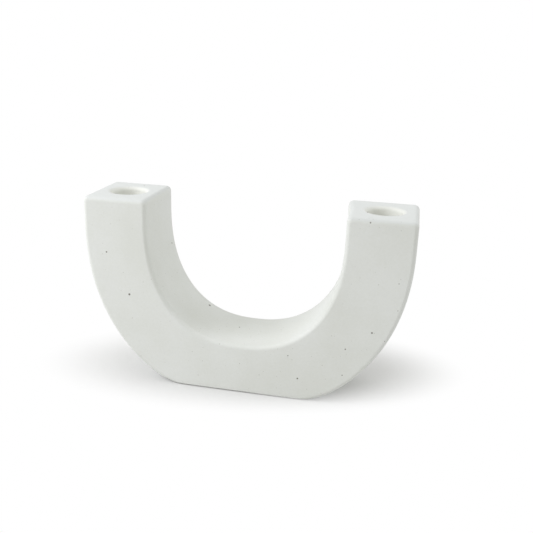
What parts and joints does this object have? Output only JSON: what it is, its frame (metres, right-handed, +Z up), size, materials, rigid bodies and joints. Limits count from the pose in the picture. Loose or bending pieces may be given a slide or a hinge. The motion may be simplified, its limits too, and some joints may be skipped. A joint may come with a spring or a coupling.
{
  "type": "double taper candle holder",
  "caption": "U-shaped ceramic candle holder with a flat ground base; each upright square end has a round socket for a taper candle.",
  "frame": {"origin": "on the table plane, under the middle of the base", "axes": "+X from the left leg to the right leg, +Y to the back, +Z up out of the sockets"},
  "size_m": [0.2084, 0.05, 0.1233],
  "materials": {
    "speckled_ceramic": "matt speckled glaze",
    "pad_rubber": "matt"
  },
  "bodies": {
    "root": {"ceramic_body": "speckled_ceramic", "base_pad_front_left": "pad_rubber", "base_pad_front_right": "pad_rubber", "base_pad_back_left": "pad_rubber", "base_pad_back_right": "pad_rubber"}
  },
  "joints": []
}
